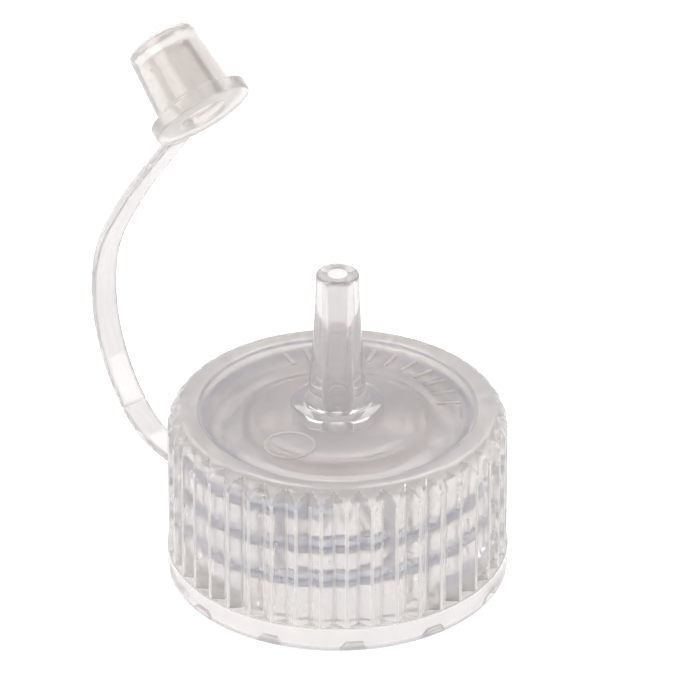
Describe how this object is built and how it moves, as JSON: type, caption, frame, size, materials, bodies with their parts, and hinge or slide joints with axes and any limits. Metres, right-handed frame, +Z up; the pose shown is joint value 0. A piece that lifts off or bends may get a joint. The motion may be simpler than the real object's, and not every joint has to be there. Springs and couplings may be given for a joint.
{
  "type": "dispensing bottle closure",
  "caption": "Screw closure for a small bottle, with a tapered dispensing nozzle and a small lid on a curved strap that caps the nozzle.",
  "frame": {"origin": "centre of the neck opening, on the plane of the bottom rim", "axes": "+Z up the nozzle, -X along the strap where it leaves the closure, +Y completes a right-handed frame; the strap bends in the XZ plane"},
  "size_m": [0.0458, 0.028, 0.0412],
  "materials": {
    "closure_shell": "translucent natural polypropylene, smooth moulded surface",
    "thread": "translucent natural polypropylene, seen through the skirt",
    "nozzle": "translucent natural polypropylene, polished",
    "strap": "translucent natural polypropylene, slightly stress-whitened",
    "lid": "translucent natural polypropylene, smooth"
  },
  "bodies": {
    "closure": {"closure_band": "closure_shell", "fluted_skirt": "closure_shell", "top_plate": "closure_shell", "neck_thread": "thread", "plug_seal": "thread", "sealing_land": "thread", "spout_collar": "nozzle", "spout_nozzle": "nozzle", "raised_marks": "closure_shell", "mould_ring": "closure_shell", "strap_root": "strap"},
    "strap_1": {"strap_link_1": "strap"},
    "strap_2": {"strap_link_2": "strap"},
    "strap_3": {"strap_link_3": "strap"},
    "strap_4": {"strap_link_4": "strap"},
    "strap_5": {"strap_link_5": "strap"},
    "strap_6": {"strap_link_6": "strap"},
    "strap_7": {"strap_link_7": "strap"},
    "strap_8": {"strap_link_8": "strap"},
    "strap_9": {"strap_link_9": "strap"},
    "lid": {"strap_tab": "strap", "lid_flange": "lid", "lid_step": "lid", "lid_cup": "lid"}
  },
  "joints": [
    {"name": "lid_swing", "type": "hinge", "parent": "closure", "child": "strap_1", "pos_m": [-0.017, 0, 0.0006], "axis": [0, 1, 0], "range_deg": [0, 31.46], "stiffness_Nm_per_rad": 0.002},
    {"name": "strap_bend_2", "type": "hinge", "parent": "strap_1", "child": "strap_2", "pos_m": [-0.02139, 0, 0.00037], "axis": [0, 1, 0], "range_deg": [-14.35, 0], "stiffness_Nm_per_rad": 0.002},
    {"name": "strap_unfold", "type": "hinge", "parent": "strap_2", "child": "strap_3", "pos_m": [-0.02571, 0, 0.00121], "axis": [0, 1, 0], "range_deg": [-34, 0], "stiffness_Nm_per_rad": 0.002},
    {"name": "strap_bend_4", "type": "hinge", "parent": "strap_3", "child": "strap_4", "pos_m": [-0.02882, 0, 0.00432], "axis": [0, 1, 0], "range_deg": [-18.1, 0], "stiffness_Nm_per_rad": 0.002},
    {"name": "lid_press", "type": "hinge", "parent": "strap_4", "child": "strap_5", "pos_m": [-0.03082, 0, 0.00824], "axis": [0, 1, 0], "range_deg": [0, 30.35], "stiffness_Nm_per_rad": 0.002},
    {"name": "strap_bend_6", "type": "hinge", "parent": "strap_5", "child": "strap_6", "pos_m": [-0.03143, 0, 0.0126], "axis": [0, 1, 0], "range_deg": [-18.1, 0], "stiffness_Nm_per_rad": 0.002},
    {"name": "strap_bend_7", "type": "hinge", "parent": "strap_6", "child": "strap_7", "pos_m": [-0.03067, 0, 0.01693], "axis": [0, 1, 0], "range_deg": [-7.31, 0], "stiffness_Nm_per_rad": 0.002},
    {"name": "strap_bend_8", "type": "hinge", "parent": "strap_7", "child": "strap_8", "pos_m": [-0.02847, 0, 0.02074], "axis": [0, 1, 0], "range_deg": [-7.1, 0], "stiffness_Nm_per_rad": 0.002},
    {"name": "strap_bend_9", "type": "hinge", "parent": "strap_8", "child": "strap_9", "pos_m": [-0.02601, 0, 0.02439], "axis": [0, 1, 0], "range_deg": [-9.2, 0], "stiffness_Nm_per_rad": 0.002},
    {"name": "strap_bend_10", "type": "hinge", "parent": "strap_9", "child": "lid", "pos_m": [-0.0233, 0, 0.02786], "axis": [0, 1, 0], "range_deg": [0, 27.85], "stiffness_Nm_per_rad": 0.002}
  ],
  "couplings": [
    {"joint": "strap_bend_7", "follows": "lid_swing", "ratio": -0.22922},
    {"joint": "strap_bend_10", "follows": "lid_swing", "ratio": 0.88198},
    {"joint": "strap_bend_2", "follows": "lid_press", "ratio": -0.46949},
    {"joint": "strap_bend_8", "follows": "lid_press", "ratio": -0.23063},
    {"joint": "strap_bend_9", "follows": "lid_press", "ratio": -0.29987},
    {"joint": "strap_bend_4", "follows": "strap_unfold", "ratio": 0.52941},
    {"joint": "strap_bend_6", "follows": "strap_unfold", "ratio": 0.52941}
  ]
}
